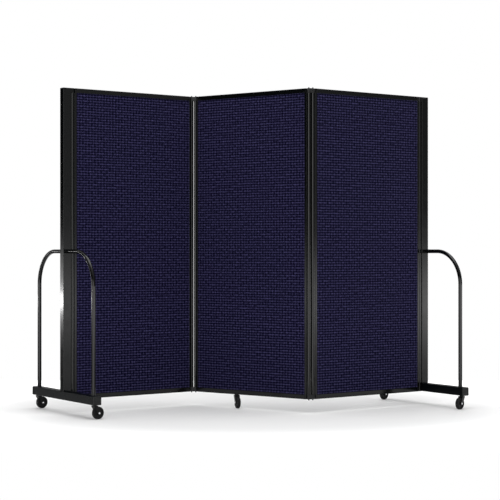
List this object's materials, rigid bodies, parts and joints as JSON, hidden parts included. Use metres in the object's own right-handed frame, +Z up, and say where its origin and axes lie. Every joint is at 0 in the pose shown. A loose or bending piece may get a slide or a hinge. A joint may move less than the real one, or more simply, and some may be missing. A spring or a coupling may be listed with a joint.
{
  "type": "folding privacy screen",
  "caption": "Free-standing folding privacy screen: fabric-covered panels joined by hinges, with a wheeled end frame and bent tube arch hinged to each end.",
  "frame": {"origin": "middle of the open screen's footprint, on the floor", "axes": "+X along the line of the screen, from the left end frame to the right one as seen from the front; the front faces -Y; +Z up"},
  "size_m": [2.1094, 0.9496, 1.5325],
  "materials": {
    "graphite_coat": "satin dark graphite powder coat on aluminium extrusions",
    "gloss_tube": "gloss black",
    "moulded_black": "fine matte moulding",
    "navy_fabric": "dark navy cloth with a fine horizontal rib",
    "board": "plain fibre board",
    "dark_rod": "darkened steel",
    "caster_black": "satin black",
    "wheel_rubber": "smooth black",
    "bright_steel": "bright plated"
  },
  "bodies": {
    "center_panel": {"middle_core": "board", "middle_fabric_cover": "navy_fabric", "middle_left_stile": "graphite_coat", "middle_right_stile": "graphite_coat", "middle_bottom_rail": "graphite_coat", "middle_top_rail": "graphite_coat"},
    "middle_swivel": {"middle_caster_fork": "caster_black", "middle_caster_axle": "bright_steel"},
    "middle_wheel": {"middle_caster_wheel": "wheel_rubber"},
    "left_link": {"left_hinge_bottom_block": "moulded_black", "left_hinge_top_block": "moulded_black", "left_hinge_left_rod": "dark_rod", "left_hinge_right_rod": "dark_rod"},
    "left_panel": {"left_core": "board", "left_fabric_cover": "navy_fabric", "left_left_stile": "graphite_coat", "left_right_stile": "graphite_coat", "left_bottom_rail": "graphite_coat", "left_top_rail": "graphite_coat"},
    "left_end_frame": {"left_post": "graphite_coat", "left_post_cap": "moulded_black", "left_arch": "gloss_tube", "left_foot_bar": "graphite_coat", "left_bar_front_cap": "moulded_black", "left_bar_rear_cap": "moulded_black", "left_top_lug": "graphite_coat", "left_bottom_lug": "graphite_coat", "left_end_rod": "dark_rod"},
    "left_front_swivel": {"left_front_caster_fork": "caster_black", "left_front_caster_axle": "bright_steel"},
    "left_front_wheel": {"left_front_caster_wheel": "wheel_rubber"},
    "left_rear_swivel": {"left_rear_caster_fork": "caster_black", "left_rear_caster_axle": "bright_steel"},
    "left_rear_wheel": {"left_rear_caster_wheel": "wheel_rubber"},
    "right_link": {"right_hinge_bottom_block": "moulded_black", "right_hinge_top_block": "moulded_black", "right_hinge_left_rod": "dark_rod", "right_hinge_right_rod": "dark_rod"},
    "right_panel": {"right_core": "board", "right_fabric_cover": "navy_fabric", "right_left_stile": "graphite_coat", "right_right_stile": "graphite_coat", "right_bottom_rail": "graphite_coat", "right_top_rail": "graphite_coat"},
    "right_end_frame": {"right_post": "graphite_coat", "right_post_cap": "moulded_black", "right_arch": "gloss_tube", "right_foot_bar": "graphite_coat", "right_bar_front_cap": "moulded_black", "right_bar_rear_cap": "moulded_black", "right_top_lug": "graphite_coat", "right_bottom_lug": "graphite_coat", "right_end_rod": "dark_rod"},
    "right_front_swivel": {"right_front_caster_fork": "caster_black", "right_front_caster_axle": "bright_steel"},
    "right_front_wheel": {"right_front_caster_wheel": "wheel_rubber"},
    "right_rear_swivel": {"right_rear_caster_fork": "caster_black", "right_rear_caster_axle": "bright_steel"},
    "right_rear_wheel": {"right_rear_caster_wheel": "wheel_rubber"}
  },
  "joints": [
    {"name": "left_hinge_inner_pivot", "type": "hinge", "parent": "center_panel", "child": "left_link", "pos_m": [-0.26719, 0.18042, 0.7965], "axis": [0, 0, 1], "range_deg": [-125, 55]},
    {"name": "left_hinge_outer_pivot", "type": "hinge", "parent": "left_link", "child": "left_panel", "pos_m": [-0.28779, 0.18042, 0.7965], "axis": [0, 0, 1], "range_deg": [-125, 55]},
    {"name": "right_hinge_inner_pivot", "type": "hinge", "parent": "center_panel", "child": "right_link", "pos_m": [0.27787, -0.20124, 0.7965], "axis": [0, 0, 1], "range_deg": [-147, 33]},
    {"name": "right_hinge_outer_pivot", "type": "hinge", "parent": "right_link", "child": "right_panel", "pos_m": [0.29697, -0.19352, 0.7965], "axis": [0, 0, 1], "range_deg": [-103, 77]},
    {"name": "left_end_pivot", "type": "hinge", "parent": "left_panel", "child": "left_end_frame", "pos_m": [-0.83286, -0.20124, 0.7965], "axis": [0, 0, -1], "range_deg": [-90, 90]},
    {"name": "right_end_pivot", "type": "hinge", "parent": "right_panel", "child": "right_end_frame", "pos_m": [0.84203, 0.18813, 0.7965], "axis": [0, 0, -1], "range_deg": [-90, 90]},
    {"name": "middle_caster_turn", "type": "hinge", "parent": "center_panel", "child": "middle_swivel", "pos_m": [-0.06322, 0.0376, 0.066], "axis": [0, 0, 1], "continuous": true},
    {"name": "middle_wheel_spin", "type": "hinge", "parent": "middle_swivel", "child": "middle_wheel", "pos_m": [-0.05826, 0.02029, 0.0285], "axis": [0.9613, 0.2756, 0], "continuous": true},
    {"name": "left_front_caster_turn", "type": "hinge", "parent": "left_end_frame", "child": "left_front_swivel", "pos_m": [-0.70224, -0.44183, 0.066], "axis": [0, 0, 1], "continuous": true},
    {"name": "left_front_wheel_spin", "type": "hinge", "parent": "left_front_swivel", "child": "left_front_wheel", "pos_m": [-0.68845, -0.43026, 0.0285], "axis": [-0.6428, 0.766, 0], "continuous": true},
    {"name": "left_rear_caster_turn", "type": "hinge", "parent": "left_end_frame", "child": "left_rear_swivel", "pos_m": [-1.02344, 0.01689, 0.066], "axis": [0, 0, 1], "continuous": true},
    {"name": "left_rear_wheel_spin", "type": "hinge", "parent": "left_rear_swivel", "child": "left_rear_wheel", "pos_m": [-1.00926, 0.02798, 0.0285], "axis": [-0.6157, 0.788, 0], "continuous": true},
    {"name": "right_front_caster_turn", "type": "hinge", "parent": "right_end_frame", "child": "right_front_swivel", "pos_m": [1.02344, -0.01689, 0.066], "axis": [0, 0, 1], "continuous": true},
    {"name": "right_front_wheel_spin", "type": "hinge", "parent": "right_front_swivel", "child": "right_front_wheel", "pos_m": [1.01187, -0.03068, 0.0285], "axis": [0.766, -0.6428, 0], "continuous": true},
    {"name": "right_rear_caster_turn", "type": "hinge", "parent": "right_end_frame", "child": "right_rear_swivel", "pos_m": [0.70224, 0.44183, 0.066], "axis": [0, 0, 1], "continuous": true},
    {"name": "right_rear_wheel_spin", "type": "hinge", "parent": "right_rear_swivel", "child": "right_rear_wheel", "pos_m": [0.69019, 0.42845, 0.0285], "axis": [0.7431, -0.6691, 0], "continuous": true}
  ]
}
